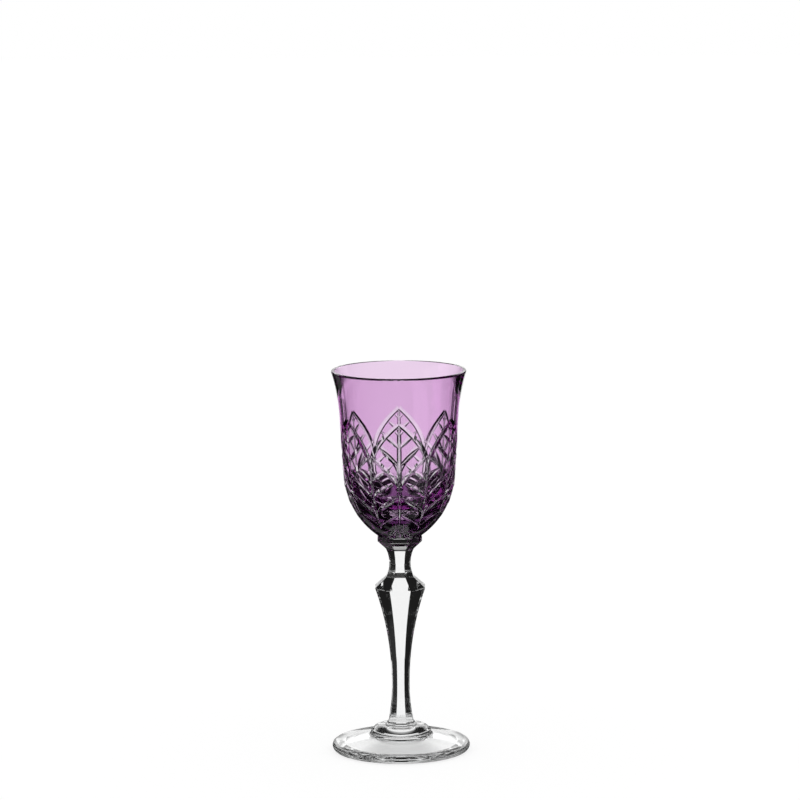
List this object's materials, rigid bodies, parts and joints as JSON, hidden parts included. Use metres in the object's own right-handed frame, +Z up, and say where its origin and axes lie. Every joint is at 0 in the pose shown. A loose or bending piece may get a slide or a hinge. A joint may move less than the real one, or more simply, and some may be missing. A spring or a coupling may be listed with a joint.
{
  "type": "cordial glass",
  "caption": "Small stemmed liqueur glass: flared bowl of amethyst cased over clear crystal, cut with leaves, on a faceted stem and round foot",
  "frame": {"origin": "middle of the resting ring under the foot, on the surface that the glass stands on", "axes": "+Z up along the glass's axis; -Y faces the front, with a leaf tip and a stem facet square to it; +X to the right seen from the front"},
  "size_m": [0.0504, 0.0504, 0.1408],
  "materials": {
    "amethyst_glass": "polished, cut through to clear in the pattern",
    "bowl_crystal": "polished",
    "stem_crystal": "polished flat facets",
    "foot_crystal": "fire polished"
  },
  "bodies": {
    "root": {"bowl_casing": "amethyst_glass", "bowl_lining": "bowl_crystal", "collar": "stem_crystal", "stem": "stem_crystal", "foot": "foot_crystal"}
  },
  "joints": []
}
